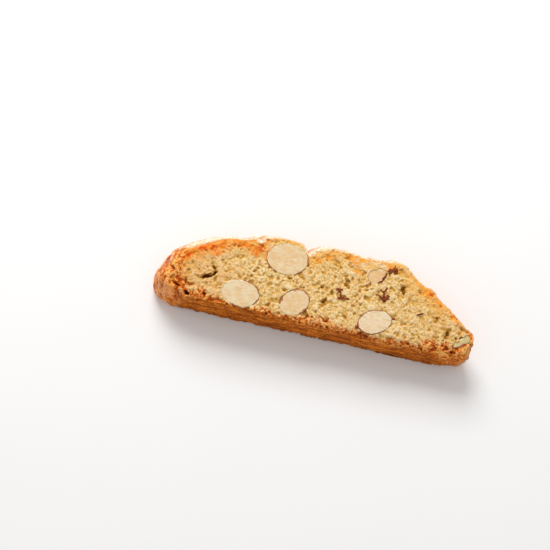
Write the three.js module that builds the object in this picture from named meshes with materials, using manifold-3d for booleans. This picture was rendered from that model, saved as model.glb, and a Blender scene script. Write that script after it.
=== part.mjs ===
// One slice of a twice-baked almond biscuit, cut on the bias from a long low loaf.
//
// The slice lies on one of its two knife cuts. +X runs along the slice, +Y from the flat base
// crust to the domed top crust, and +Z up out of the upper cut. The origin is the centre of the
// bounding box at its lowest face. Units are millimetres.
//
// The dough is one solid: a stretch of loaf between two parallel cuts, with the larger pores of
// the crumb open in both of them. Each whole almond that the knife went through is a solid of its
// own, cut flush with the crumb and set in a pocket.
import * as THREE from "three";
import { mergeVertices } from "three/addons/utils/BufferGeometryUtils.js";
import Module from "manifold-3d";

const wasm = await Module();
wasm.setup();

// Driving dimensions
const THICKNESS = 16; // between the two cuts
const LENGTH = 117.4; // of a cut face, end to end
const BIAS = THREE.MathUtils.degToRad(24); // how far off square the knife crosses the loaf
const BASE_LEAN = THREE.MathUtils.degToRad(5.5); // and how far it leans out towards the base
const HALF = LENGTH / 2;
const LEFT_BELLY = 5.7; // height of the widest point at the left end
const RIGHT_BELLY = 9.4; // and at the right end
const LEFT_FOOT = 9.4; // how far the base crust starts in from the left end
const RIGHT_FOOT = 1.8; // and from the right end
const LEFT_CROWN = { x: -4.4, y: 27.7 }; // where the round left shoulder meets the crown
const RIGHT_CROWN = { x: 23.5, y: 31.1 }; // where the crown meets the long right slope
const LEFT_ROUNDNESS = 3.05; // superellipse powers: 2 is an ellipse, 1 a straight slope
const RIGHT_ROUNDNESS = 1.18;
const LEFT_FOOT_ROUNDNESS = 1.1;
// How the two feet fill out towards the lower cut: middle, reach, push and which way
const FOOT_FILLS = [
  { x: -55, y: -1.8, reach: 5, push: 4.2, toX: -0.57, toY: -0.82 },
  { x: 59, y: 3, reach: 5.5, push: 5.6, toX: 1, toY: 0 },
];
const BASE_RISE = { from: 52, to: 66, height: 2.2 }; // of the base at the lower cut, to the right
const POCKET_GAP = 0.3; // between an almond and the crumb round it

// Swells (+) and dips (-) of the top crust: where along the slice, how wide, and how high at the
// upper cut and at the lower one
const CRUST_BUMPS = [
  { x: -42, width: 9, above: 1.2, below: 0.8 },
  { x: -32.5, width: 2.9, above: -0.5, below: -1.2 },
  { x: -27.1, width: 1, above: -1.8, below: -0.2 },
  { x: -19, width: 13.5, above: 3.7, below: 3.1 },
  { x: -8.1, width: 1.5, above: -3.6, below: -1.2 },
  { x: 2, width: 10, above: 3, below: 2 },
  { x: 17.5, width: 3.6, above: 0.4, below: 1.4 },
  { x: 28.2, width: 4.4, above: 2.1, below: 1 },
  { x: 40.6, width: 2.2, above: 1.1, below: 1.8 },
  { x: 52.6, width: 3.2, above: -0.2, below: -1 },
];

// Crust surface
const CROWN_POINTS = 112; // along the top crust and both ends
const BASE_POINTS = 16; // along the base crust
const QUARTER_STEPS = 200; // to work out each stretch of the outline
const CRUST_STEPS = 8; // from cut to cut
const OVERRUN = 2; // of the loaf past each cut, which the cuts take off
const CRUST_SWELL = 0.7; // how far the top crust bulges between the cuts
const LUMPS = 90; // scattered over the top crust
const LUMP_SIZE = [1.8, 4.2]; // radius, least and most
const LUMP_RISE = 0.5; // of the highest, and depth of the deepest
const LUMP_FADE = 4; // depth below the upper cut at which the lumps are whole
const BASE_RIPPLE = 0.1; // depth of the base crust's unevenness
const RIPPLE_LENGTH = { x: 7.9, z: 9 }; // of one wave of it
const CRUST_SEED = 7;

// Whole almonds. x and y place the section at the cut, with x measured from the middle of that
// face and y from the base crust; long, wide and tilt are that section's size and turn, and egg is
// how much narrower its +long end is than the other. waist is how deep below the cut the almond is
// thickest, and half how far it reaches from there; lean shifts it along X and Y for each
// millimetre of depth.
const ALMONDS_ABOVE = [
  { x: -15.6, y: 23.1, long: 16.1, wide: 12.7, tilt: 4, egg: 0, waist: 0, half: 7, lean: [0.1, -0.2] },
  { x: -30, y: 5.9, long: 14.9, wide: 10.4, tilt: -1, egg: -0.04, waist: 4.5, half: 16.5, lean: [0.1, 0.2] },
  { x: -9.3, y: 7, long: 11.9, wide: 9.7, tilt: 43, egg: 0, waist: 5, half: 14.5, lean: [0.2, 0.2] },
  { x: 21.6, y: 6.5, long: 12.9, wide: 9.1, tilt: 25, egg: 0, waist: 1, half: 10, lean: [-0.2, 0.15] },
  { x: 55, y: 6.2, long: 8.2, wide: 2.9, tilt: 45, egg: -0.25, waist: 0.4, half: 4.5, lean: [-0.35, 0.1] },
  { x: 19, y: 24.4, long: 7.8, wide: 5.8, tilt: 39, egg: 0.3, waist: 0.8, half: 4.5, lean: [0, -0.25] },
];
const ALMONDS_BELOW = [
  { x: 14.5, y: 22.4, long: 13.4, wide: 8.3, tilt: -14, egg: 0.12, waist: 0.3, half: 5.6, lean: [0, -0.1] },
  { x: 37.5, y: 9, long: 15.2, wide: 8.8, tilt: 12, egg: 0.15, waist: 1.2, half: 10.5, lean: [-0.1, 0.1] },
];

// Large pores, in the upper cut
const LARGE_PORES = [
  { x: -43.8, y: 10, long: 5.2, wide: 1.7, tilt: 28, deep: 2.4 },
  { x: -41, y: 11.8, long: 1.8, wide: 1.3, tilt: 55, deep: 2.2 },
  { x: -41.7, y: 13.2, long: 2.7, wide: 1.2, tilt: 138, deep: 2 },
  { x: 29.5, y: 20.8, long: 4.6, wide: 1.6, tilt: 108, deep: 1.6 },
  { x: 8.4, y: 19, long: 4.1, wide: 1.5, tilt: 110, deep: 1.4 },
  { x: 1.3, y: 9.6, long: 3.1, wide: 1.5, tilt: 82, deep: 1.4 },
  { x: 48.8, y: 8.4, long: 5, wide: 1.7, tilt: 77, deep: 1.4 },
  { x: 6.4, y: 14.4, long: 3.6, wide: 1.1, tilt: 112, deep: 1.2 },
  { x: 22.9, y: 16.6, long: 3.4, wide: 1.4, tilt: 95, deep: 1.5 },
  { x: 16.2, y: 20, long: 3.4, wide: 1.3, tilt: 50, deep: 1.3 },
  { x: -49.6, y: 1.7, long: 2.8, wide: 1.5, tilt: 163, deep: 1.6 },
  { x: -13.4, y: 15.9, long: 2.4, wide: 0.9, tilt: 5, deep: 1.2 },
];

// Small pores, scattered over both cuts
const PORES_PER_FACE = 53;
const PORE_SIZE = [1.2, 2.4]; // across, least and most
const PORE_STRETCH = 1.7; // the most that one is longer than it is wide
const PORE_DEPTH = 0.62; // of its width
const PORE_SPACING = 3.1; // least distance between two
const PORE_MARGIN = 2; // from the crust, the almonds and the large pores
const PORE_TRIES = 6000; // the most places tried on each cut
const REST_SPOT = { x: 3.6, y: 16.6, radius: 4 }; // kept whole in the lower cut, under the origin
const PORE_SEED = 20;

// A repeatable random number from 0 to 1 (mulberry32).
function randomSource(seed) {
  let state = seed;
  return () => {
    state = (state + 0x6d2b79f5) | 0;
    let t = Math.imul(state ^ (state >>> 15), 1 | state);
    t = (t + Math.imul(t ^ (t >>> 7), 61 | t)) ^ t;
    return ((t ^ (t >>> 14)) >>> 0) / 4294967296;
  };
}

// A quarter of a superellipse from its side (share 0) to its top (share 1).
function quarter(centre, reach, rise, power, share) {
  const angle = (share * Math.PI) / 2;
  return new THREE.Vector2(
    centre.x + reach * Math.cos(angle) ** (2 / power),
    centre.y + rise * Math.sin(angle) ** (2 / power),
  );
}

// How much the bumps lift the top crust, with z the height between the lower cut and the upper.
function crustBump(x, z) {
  const share = THREE.MathUtils.clamp(z / THICKNESS, 0, 1);
  return CRUST_BUMPS.reduce((sum, bump) => {
    const rise = THREE.MathUtils.lerp(bump.below, bump.above, share);
    return sum + rise * Math.exp(-(((x - bump.x) / bump.width) ** 2));
  }, 0);
}

// The loaf's section in the plane of the cut: right end, crown and left end, then the base.
function loafOutline() {
  const shares = Array.from({ length: QUARTER_STEPS }, (_, i) => i / QUARTER_STEPS);
  const rightRise = RIGHT_CROWN.y - RIGHT_BELLY;
  const leftRise = LEFT_CROWN.y - LEFT_BELLY;
  const rightFoot = new THREE.Vector2(HALF - RIGHT_FOOT, RIGHT_BELLY);
  const rightSlope = new THREE.Vector2(RIGHT_CROWN.x, RIGHT_BELLY);
  const leftSlope = new THREE.Vector2(LEFT_CROWN.x, LEFT_BELLY);
  const leftFoot = new THREE.Vector2(-HALF + LEFT_FOOT, LEFT_BELLY);
  const top = [
    ...shares.map((s) => quarter(rightSlope, HALF - RIGHT_CROWN.x, rightRise, RIGHT_ROUNDNESS, s)),
    ...shares.map((s) => new THREE.Vector2().copy(RIGHT_CROWN).lerp(LEFT_CROWN, s)),
    ...shares.map((s) => quarter(leftSlope, -HALF - LEFT_CROWN.x, leftRise, LEFT_ROUNDNESS, 1 - s)),
  ].map((p) => p.setY(p.y + crustBump(p.x, THICKNESS)));
  const ends = new THREE.Path([
    ...shares.map((s) => quarter(rightFoot, RIGHT_FOOT, -RIGHT_BELLY, 2, 1 - s)),
    ...top,
    ...shares.map((s) => quarter(leftFoot, -LEFT_FOOT, -LEFT_BELLY, LEFT_FOOT_ROUNDNESS, s)),
    new THREE.Vector2(leftFoot.x, 0),
  ]);
  const base = new THREE.LineCurve(new THREE.Vector2(leftFoot.x, 0), new THREE.Vector2(rightFoot.x, 0));
  return [...ends.getSpacedPoints(CROWN_POINTS), ...base.getPoints(BASE_POINTS).slice(1, -1)];
}

const OUTLINE = loafOutline();

// How far the loaf's section has moved along X and Y at a height above the lower cut.
function knifeShift(z) {
  return new THREE.Vector2(Math.tan(BIAS), Math.tan(BASE_LEAN)).multiplyScalar(z - THICKNESS);
}

// How far a point in the plane of a cut lies inside the loaf: negative outside.
function insideBy(x, y) {
  let inside = false;
  let nearest = Infinity;
  OUTLINE.forEach((a, i) => {
    const b = OUTLINE[(i + 1) % OUTLINE.length];
    if (a.y > y !== b.y > y && x < ((b.x - a.x) * (y - a.y)) / (b.y - a.y) + a.x) inside = !inside;
    const along = THREE.MathUtils.clamp(
      ((x - a.x) * (b.x - a.x) + (y - a.y) * (b.y - a.y)) / a.distanceToSquared(b),
      0,
      1,
    );
    nearest = Math.min(nearest, Math.hypot(x - a.x - along * (b.x - a.x), y - a.y - along * (b.y - a.y)));
  });
  return inside ? nearest : -nearest;
}

function solidOf(geometry) {
  const bare = geometry.clone();
  bare.deleteAttribute("normal");
  bare.deleteAttribute("uv");
  const merged = mergeVertices(bare, 1e-4);
  return new wasm.Manifold(
    new wasm.Mesh({
      numProp: 3,
      vertProperties: new Float32Array(merged.attributes.position.array),
      triVerts: new Uint32Array(merged.index.array),
    }),
  );
}

function geometryOf(solid) {
  const mesh = solid.getMesh();
  const geometry = new THREE.BufferGeometry();
  geometry.setAttribute("position", new THREE.BufferAttribute(mesh.vertProperties, mesh.numProp));
  geometry.setIndex(new THREE.BufferAttribute(mesh.triVerts, 1));
  const flat = geometry.toNonIndexed();
  flat.computeVertexNormals();
  return flat;
}

// Small swells and hollows of the top crust, each a round spot on the loaf before its bias.
function scatterLumps(random) {
  return Array.from({ length: LUMPS }, () => ({
    centre: new THREE.Vector3(
      ...OUTLINE[Math.floor(random() * CROWN_POINTS)].toArray(),
      THREE.MathUtils.lerp(-OVERRUN, THICKNESS + OVERRUN, random()),
    ),
    size: THREE.MathUtils.lerp(...LUMP_SIZE, random()),
    rise: LUMP_RISE * THREE.MathUtils.lerp(-1, 1, random()),
  }));
}

// How far the feet are pushed out at a point of the loaf's section.
function footFill(x, y, z) {
  const low = 1 - THREE.MathUtils.clamp(z / THICKNESS, 0, 1);
  return FOOT_FILLS.reduce((sum, foot) => {
    const gap = Math.hypot(x - foot.x, y - foot.y) / foot.reach;
    const push = low * foot.push * Math.exp(-(gap ** 2));
    return sum.add(new THREE.Vector2(foot.toX, foot.toY).multiplyScalar(push));
  }, new THREE.Vector2());
}

// How high the base is at a point along the loaf's section.
function baseHeight(x, z) {
  const low = 1 - THREE.MathUtils.clamp(z / THICKNESS, 0, 1);
  return low * BASE_RISE.height * THREE.MathUtils.smoothstep(x, BASE_RISE.from, BASE_RISE.to);
}

// A stretch of loaf, longer than the slice, with its crust's swell and lumps. The lumps fade
// towards the upper cut, where the outline has them already.
function loaf() {
  const depth = THICKNESS + 2 * OVERRUN;
  const geometry = new THREE.ExtrudeGeometry(new THREE.Shape(OUTLINE), {
    depth,
    steps: CRUST_STEPS,
    bevelEnabled: false,
  }).translate(0, 0, -OVERRUN);
  const lumps = scatterLumps(randomSource(CRUST_SEED));
  const place = geometry.attributes.position;
  const point = new THREE.Vector3();
  for (let i = 0; i < place.count; i++) {
    const { x, y, z } = point.fromBufferAttribute(place, i);
    const above = THREE.MathUtils.smoothstep(y, 0, RIGHT_BELLY);
    const swell = CRUST_SWELL * Math.sin((Math.PI * THREE.MathUtils.clamp(z, 0, THICKNESS)) / THICKNESS);
    const lumpy = lumps.reduce(
      (sum, lump) => sum + lump.rise * Math.exp(-lump.centre.distanceToSquared(point) / lump.size ** 2),
      0,
    );
    const below = THREE.MathUtils.smoothstep(THICKNESS - z, 0, LUMP_FADE);
    const out = above * (swell + below * lumpy);
    const away = new THREE.Vector2(x / HALF, (y - RIGHT_BELLY) / RIGHT_CROWN.y).normalize();
    const lift = above * (crustBump(x, z) - crustBump(x, THICKNESS));
    const waves = [x / RIPPLE_LENGTH.x, z / RIPPLE_LENGTH.z].map((turns) => Math.sin(2 * Math.PI * turns));
    const sag = (1 - above) * BASE_RIPPLE * (1 + waves[0] * waves[1]);
    const fill = footFill(x, y, z);
    const shift = knifeShift(z);
    const newX = x + away.x * out + fill.x;
    const newY = Math.max(y + away.y * out + lift + sag + fill.y, baseHeight(newX, z));
    place.setXYZ(i, newX + shift.x, newY + shift.y, z);
  }
  return solidOf(geometry);
}

// The space between the two cuts.
function cutSpace() {
  const box = new THREE.BoxGeometry(2 * LENGTH, 2 * LENGTH, THICKNESS).translate(0, 0, THICKNESS / 2);
  return solidOf(box);
}

// A rounded body whose section at the upper (+1) or lower (-1) cut is the oval asked for, larger
// all round by gap. It leans as the loaf does, and by its own lean on top of that.
function roundBody(shape, side, sphere, gap = 0) {
  const cut = side > 0 ? THICKNESS : 0;
  const narrowing = Math.sqrt(1 - (shape.waist / shape.half) ** 2);
  const [leanX, leanY] = shape.lean;
  const shearX = Math.tan(BIAS) - side * leanX;
  const shearY = Math.tan(BASE_LEAN) - side * leanY;
  const turn = new THREE.Matrix4().makeRotationZ(THREE.MathUtils.degToRad(shape.tilt));
  const shear = new THREE.Matrix4().makeShear(0, 0, 0, 0, shearX, shearY);
  const shift = knifeShift(cut);
  const body = sphere.clone();
  const place = body.attributes.position;
  const point = new THREE.Vector3();
  for (let i = 0; i < place.count; i++) {
    point.fromBufferAttribute(place, i);
    const taper = 1 - shape.egg * point.x;
    point.x *= shape.long / 2 / narrowing + gap;
    point.y *= (shape.wide / 2 / narrowing + gap) * taper;
    point.z *= shape.half + gap;
    point.applyMatrix4(turn);
    point.z -= side * shape.waist;
    point.applyMatrix4(shear);
    place.setXYZ(i, point.x + shape.x + shift.x, point.y + shape.y + shift.y, point.z + cut);
  }
  return solidOf(body);
}

const ALMOND_SPHERE = new THREE.SphereGeometry(1, 20, 11).rotateX(Math.PI / 2);
const PORE_SPHERE = new THREE.IcosahedronGeometry(1, 1);

function pore(spot) {
  return roundBody({ ...spot, egg: 0, waist: 0, half: spot.deep, lean: [0, 0] }, spot.side, PORE_SPHERE);
}

// True where a small pore fits: clear of the crust, almonds, other pores and the rest spot.
function poreFits(spot, taken) {
  const far = (other, distance) => Math.hypot(spot.x - other.x, spot.y - other.y) > distance;
  const ovals = spot.side > 0 ? [...ALMONDS_ABOVE, ...LARGE_PORES] : ALMONDS_BELOW;
  return (
    insideBy(spot.x, spot.y) > PORE_MARGIN &&
    (spot.side > 0 || far(REST_SPOT, REST_SPOT.radius)) &&
    ovals.every((oval) => far(oval, oval.long / 2 + PORE_MARGIN)) &&
    taken.every((other) => other.side !== spot.side || far(other, PORE_SPACING))
  );
}

function scatterPores(random) {
  const [least, most] = PORE_SIZE;
  const found = [];
  for (const side of [1, -1]) {
    for (let tries = 0, placed = 0; placed < PORES_PER_FACE && tries < PORE_TRIES; tries++) {
      const wide = least + (most - least) * random() ** 2;
      const spot = {
        x: THREE.MathUtils.lerp(-HALF, HALF, random()),
        y: RIGHT_CROWN.y * random(),
        wide,
        long: wide * THREE.MathUtils.lerp(1, PORE_STRETCH, random()),
        tilt: 180 * random(),
        deep: wide * PORE_DEPTH,
        side,
      };
      if (!poreFits(spot, found)) continue;
      found.push(spot);
      placed++;
    }
  }
  return found;
}

function named(name, solid, material) {
  const mesh = new THREE.Mesh(geometryOf(solid), material);
  mesh.name = name;
  return mesh;
}

function buildSlice() {
  const between = cutSpace();
  const almonds = [
    ...ALMONDS_ABOVE.map((almond) => ({ almond, side: 1 })),
    ...ALMONDS_BELOW.map((almond) => ({ almond, side: -1 })),
  ];
  const pockets = almonds.map(({ almond, side }) => roundBody(almond, side, ALMOND_SPHERE, POCKET_GAP));
  const largePores = LARGE_PORES.map((spot) => pore({ ...spot, side: 1 }));
  const smallPores = scatterPores(randomSource(PORE_SEED)).map(pore);
  const dough = [...pockets, ...largePores, ...smallPores].reduce(
    (solid, hollow) => solid.subtract(hollow),
    loaf().intersect(between),
  );
  const doughMaterial = new THREE.MeshStandardMaterial({ color: 0xd9b273, roughness: 0.85, metalness: 0 });
  const almondMaterial = new THREE.MeshStandardMaterial({ color: 0xe9cf9f, roughness: 0.55, metalness: 0 });
  const slice = new THREE.Group();
  slice.add(named("biscuit", dough, doughMaterial));
  almonds.forEach(({ almond, side }, i) => {
    const body = roundBody(almond, side, ALMOND_SPHERE).intersect(between);
    slice.add(named(`almond_${i + 1}`, body, almondMaterial));
  });
  return slice;
}

const slice = buildSlice();
const middle = new THREE.Box3().setFromObject(slice).getCenter(new THREE.Vector3());
slice.position.set(-middle.x, -middle.y, 0);

export default slice;
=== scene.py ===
"""One slice of almond biscotti, cut on the bias and lying on its lower cut face.

Shapes are worked out in millimetres in the slice's own coordinates: x from the middle of the upper
cut face, y from the base crust and z from the lower cut. ORIGIN is the frame's origin in those.
"""
import math

import bpy
import numpy as np
import openvdb
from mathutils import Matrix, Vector


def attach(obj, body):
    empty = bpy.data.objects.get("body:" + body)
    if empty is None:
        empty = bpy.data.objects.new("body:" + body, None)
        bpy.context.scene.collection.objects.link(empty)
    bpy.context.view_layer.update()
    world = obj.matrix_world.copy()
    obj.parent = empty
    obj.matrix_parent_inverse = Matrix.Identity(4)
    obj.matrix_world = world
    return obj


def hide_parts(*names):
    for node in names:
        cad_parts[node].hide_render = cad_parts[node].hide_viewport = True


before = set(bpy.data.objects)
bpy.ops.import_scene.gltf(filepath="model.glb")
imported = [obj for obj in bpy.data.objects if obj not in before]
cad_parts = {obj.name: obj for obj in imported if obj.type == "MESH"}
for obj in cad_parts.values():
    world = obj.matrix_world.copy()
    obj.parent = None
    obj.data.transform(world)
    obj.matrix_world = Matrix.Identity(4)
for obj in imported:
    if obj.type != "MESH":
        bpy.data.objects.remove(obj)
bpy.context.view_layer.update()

MM = 0.001
ORIGIN = (-3.557, 15.201, 0)

# The loaf's section, by the CAD's numbers
THICKNESS = 16
HALF = 58.7
BIAS = math.radians(24)
BASE_LEAN = math.radians(5.5)
LEFT_BELLY = 5.7
RIGHT_BELLY = 9.4
LEFT_FOOT = 9.4
RIGHT_FOOT = 1.8
LEFT_CROWN = (-4.4, 27.7)
RIGHT_CROWN = (23.5, 31.1)
LEFT_ROUNDNESS = 3.05
RIGHT_ROUNDNESS = 1.18
LEFT_FOOT_ROUNDNESS = 1.1
QUARTER_STEPS = 200
# How far the base rises to the right end at the lower cut, and where
BASE_RISE = 2.2
BASE_RISE_SPAN = (52, 66)
# Swells and dips of the top crust: x, width, rise at the upper cut, rise at the lower cut
CRUST_BUMPS = [
    (-42, 9, 1.2, 0.8),
    (-32.5, 2.9, -0.5, -1.2),
    (-27.1, 1, -1.8, -0.2),
    (-19, 13.5, 3.7, 3.1),
    (-8.1, 1.5, -3.6, -1.2),
    (2, 10, 3, 2),
    (17.5, 3.6, 0.4, 1.4),
    (28.2, 4.4, 2.1, 1),
    (40.6, 2.2, 1.1, 1.8),
    (52.6, 3.2, -0.2, -1),
]
# How far the top crust bulges between the cuts, and the lumps scattered over it
CROWN_POINTS = 112
OVERRUN = 2
CRUST_SWELL = 0.7
LUMPS = 90
LUMP_SIZE = (1.8, 4.2)
LUMP_RISE = 0.5
LUMP_FADE = 4
CRUST_SEED = 7

# The loaf's ends, by numbers that are not the CAD's
# How the two feet fill out towards the lower cut: middle, reach and push
FOOT_FILLS = [(-54.8, 1.5, 4.5, 1.7), (62, 3, 5.5, 5.8)]
# How far the base's edge is rounded, how much more at a foot, and the fill that brings all of it
BASE_EDGE_ROUND = 0.01
FOOT_ROUND = 3
FOOT_ROUND_FILL = 1.5
# Where the corners of the two ends are softened, how much, what that takes off them and how high up
ENDS_SOFTENED = (51, 55)
SOFTEN_PASSES = 50
SOFTEN_LOSS = 0.75
SOFTEN_HEIGHTS = (14, 8)

# Almonds: x and y of the section at its cut, its long and wide sizes, tilt, egg, waist, half, lean
ALMOND_WORDS = ("x", "y", "long", "wide", "tilt", "egg", "waist", "half", "lean")
ALMONDS_ABOVE = [
    (-15.6, 23.1, 16.1, 12.7, 4, 0, 0, 7, (0.1, -0.2)),
    (-30, 5.9, 14.9, 10.4, -1, -0.04, 4.5, 16.5, (0.1, 0.2)),
    (-9.3, 7, 11.9, 9.7, 43, 0, 5, 14.5, (0.2, 0.2)),
    (21.6, 6.5, 12.9, 9.1, 25, 0, 1, 10, (-0.2, 0.15)),
    (55, 6.2, 8.2, 2.9, 45, -0.25, 0.4, 4.5, (-0.35, 0.1)),
    (19, 24.4, 7.8, 5.8, 39, 0.3, 0.8, 4.5, (0, -0.25)),
]
ALMONDS_BELOW = [
    (14.5, 22.4, 13.4, 8.3, -14, 0.12, 0.3, 5.6, (0, -0.1)),
    (37.5, 9, 15.2, 8.8, 12, 0.15, 1.2, 10.5, (-0.1, 0.1)),
]
ALMONDS = [(dict(zip(ALMOND_WORDS, row)), 1) for row in ALMONDS_ABOVE]
ALMONDS += [(dict(zip(ALMOND_WORDS, row)), -1) for row in ALMONDS_BELOW]

# Brown skin round each almond's cut: from and to in degrees, anticlockwise, and its thickness
SKINS = [
    [(-55, 40, 0.4), (165, 250, 0.28)],
    [(-40, 95, 0.48), (225, 290, 0.34)],
    [(35, 205, 0.45), (-65, 50, 0.52)],
    [(0, 360, 0.3)],
    [(-150, 0, 0.6)],
    [(-60, 20, 0.5), (215, 260, 0.3)],
    [(20, 300, 0.35)],
    [(0, 250, 0.35), (280, 340, 0.3)],
]

# How ragged each almond's outline is
RAGGED = [0, 0, 0, 0, 0.4, 0.35, 0, 0]

# Large pores of the upper cut, near the CAD's but not the same: x, y, long, wide, tilt, depth
LARGE_PORES = [
    (-43.9, 9.8, 5.6, 1.8, 24, 2.4),
    (-41.2, 11.9, 2.2, 1.5, 55, 2.6),
    (-41.9, 13.3, 2.6, 1, 138, 2.2),
    (29.5, 20.8, 4.8, 2, 108, 1.6),
    (8.4, 19, 4.1, 1.8, 110, 1.4),
    (1.3, 9.6, 3.3, 1.9, 82, 1.6),
    (48.8, 8.4, 5, 2, 77, 1.6),
    (6.4, 14.4, 3.6, 1.1, 112, 0.9),
    (22.9, 16.6, 3.4, 1.4, 95, 1.1),
    (16.2, 20, 3.4, 1.3, 50, 1.1),
    (-49.6, 1.7, 2.8, 1.5, 163, 1.5),
    (-13.4, 15.9, 2.4, 0.9, 5, 1.1),
]
# Smaller marks of the upper cut, by the same measures
SMALL_PORES = [
    (-35.9, 18.7, 2.6, 0.8, 49, 0.8),
    (-32.6, 19.7, 3.2, 0.8, 47, 0.8),
    (-29, 11.9, 1.9, 0.6, 1, 0.7),
    (2.8, 17, 1.7, 1.2, 122, 0.9),
    (43.4, 13.3, 2.3, 0.9, 179, 0.9),
    (-54.3, 10.1, 3.7, 1, 122, 1),
    (-55, 4.4, 4, 1.1, 151, 1.1),
    (-51.2, 6.3, 1.3, 1, 20, 0.9),
    (-52.1, 12.8, 1.6, 0.9, 0, 0.8),
    (19.1, 1, 1.5, 0.8, 163, 1.1),
    (28.3, 9.4, 1.4, 0.8, 177, 1),
    (15, 3, 1.2, 1, 23, 1),
    (40.1, 0.8, 2, 1.3, 166, 1.6),
    (44.8, 1.6, 2.3, 1.3, 24, 1.6),
    (49.5, 2.6, 2.4, 1.3, 16, 1.6),
    (51.8, 2, 2.1, 1.5, 160, 1.8),
    (35, 1.3, 1.3, 1.1, 60, 1.3),
    (45.6, -0.5, 3.6, 1, 0, 1.2),
    (52.3, 7.2, 1.5, 1.1, 162, 0.9),
    (55.6, 10.4, 1.7, 0.8, 0, 0.8),
    (55.2, 1.7, 2.4, 0.9, 173, 0.9),
    (-7.3, 13.4, 1.3, 0.9, 60, 0.9),
    (-5.4, 12.6, 1.2, 0.6, 108, 0.8),
    (31.4, 8.3, 2.2, 1.3, 100, 0.8),
    (30.8, 4.4, 2.6, 1, 20, 0.8),
]

VOXEL = 0.3
# How far from the surface distances are kept
MARGIN = 1.5
PORES_PER_FACE = 2300
NOISE_CELLS = 48
GRAIN_CELLS = 32


def random_source(seed):
    """The CAD's repeatable random numbers from 0 to 1."""
    keep = 0xFFFFFFFF
    state = seed
    while True:
        state = (state + 0x6D2B79F5) & keep
        t = ((state ^ (state >> 15)) * (1 | state)) & keep
        t = ((t + (((t ^ (t >> 7)) * (61 | t)) & keep)) & keep) ^ t
        yield ((t ^ (t >> 14)) & keep) / 2**32


def smoothstep(value, low, high, at_low=0, at_high=1):
    share = np.clip((value - low) / (high - low), 0, 1)
    return at_low + (at_high - at_low) * share * share * (3 - 2 * share)


def reach_along(x, table):
    """The table's second values at x."""
    return np.interp(x, *zip(*table))


def smooth_noise(points, wave, seed):
    """Smooth random values from -1 to 1, with about one wave each `wave` millimetres."""
    table = np.random.default_rng(seed).uniform(-1, 1, (NOISE_CELLS,) * 3).astype(np.float32)
    place = points / np.asarray(wave, np.float32)
    cell = np.floor(place).astype(np.int32)
    part = (place - cell).astype(np.float32)
    part = part * part * (3 - 2 * part)
    total = np.zeros(len(points), np.float32)
    for corner in np.ndindex(2, 2, 2):
        at = (cell + np.array(corner, np.int32)) % NOISE_CELLS
        share = np.where(corner, part, 1 - part).prod(axis=1)
        total += share * table[at[:, 0], at[:, 1], at[:, 2]]
    return total


def crust_bump(x, z):
    """How much the bumps lift the top crust."""
    share = np.clip(z / THICKNESS, 0, 1)
    return sum(
        (below + (above - below) * share) * np.exp(-(((x - centre) / width) ** 2))
        for centre, width, above, below in CRUST_BUMPS
    )


def quarter(centre, reach, rise, power, share):
    """A quarter of a superellipse, from its side (share 0) to its top (share 1)."""
    angle = share * math.pi / 2
    return np.stack(
        [
            centre[0] + reach * np.clip(np.cos(angle), 0, 1) ** (2 / power),
            centre[1] + rise * np.clip(np.sin(angle), 0, 1) ** (2 / power),
        ],
        axis=1,
    )


def loaf_outline():
    """The loaf's section in the plane of the cut, from the base's right foot over the crown."""
    share = np.linspace(0, 1, QUARTER_STEPS, endpoint=False)
    right_foot = (HALF - RIGHT_FOOT, RIGHT_BELLY)
    left_foot = (-HALF + LEFT_FOOT, LEFT_BELLY)
    right = quarter(
        (RIGHT_CROWN[0], RIGHT_BELLY), HALF - RIGHT_CROWN[0], RIGHT_CROWN[1] - RIGHT_BELLY,
        RIGHT_ROUNDNESS, share,
    )
    crown = np.array(RIGHT_CROWN) + share[:, None] * np.subtract(LEFT_CROWN, RIGHT_CROWN)
    left = quarter(
        (LEFT_CROWN[0], LEFT_BELLY), -HALF - LEFT_CROWN[0], LEFT_CROWN[1] - LEFT_BELLY,
        LEFT_ROUNDNESS, 1 - share,
    )
    top = np.concatenate([right, crown, left])
    top[:, 1] += crust_bump(top[:, 0], THICKNESS)
    points = np.concatenate(
        [
            quarter(right_foot, RIGHT_FOOT, -RIGHT_BELLY, 2, 1 - share),
            top,
            quarter(left_foot, -LEFT_FOOT, -LEFT_BELLY, LEFT_FOOT_ROUNDNESS, share),
            [(left_foot[0], 0)],
        ]
    )
    along = np.concatenate([[0], np.cumsum(np.linalg.norm(np.diff(points, axis=0), axis=1))])
    even = np.linspace(0, along[-1], CROWN_POINTS + 1)
    return np.stack([np.interp(even, along, points[:, i]) for i in (0, 1)], axis=1), points


def outline_distance(x, y, outline):
    """Signed distance of points to the closed outline, negative inside."""
    nearest = np.full(x.shape, 1e9)
    inside = np.zeros(x.shape, bool)
    for a, b in zip(outline, np.roll(outline, -1, axis=0)):
        edge = b - a
        if not edge.any():
            continue
        along = np.clip(((x - a[0]) * edge[0] + (y - a[1]) * edge[1]) / (edge @ edge), 0, 1)
        gap = (x - a[0] - along * edge[0]) ** 2 + (y - a[1] - along * edge[1]) ** 2
        nearest = np.minimum(nearest, gap)
        if a[1] != b[1]:
            crosses = (a[1] > y) != (b[1] > y)
            inside ^= crosses & (x < edge[0] * (y - a[1]) / edge[1] + a[0])
    return np.where(inside, -1, 1) * np.sqrt(nearest)


def softened(values, passes):
    """The values smoothed with their neighbours, that many times."""
    for _ in range(passes):
        for axis in (0, 1):
            values = (np.roll(values, 1, axis) + 2 * values + np.roll(values, -1, axis)) / 4
    return values


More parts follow.
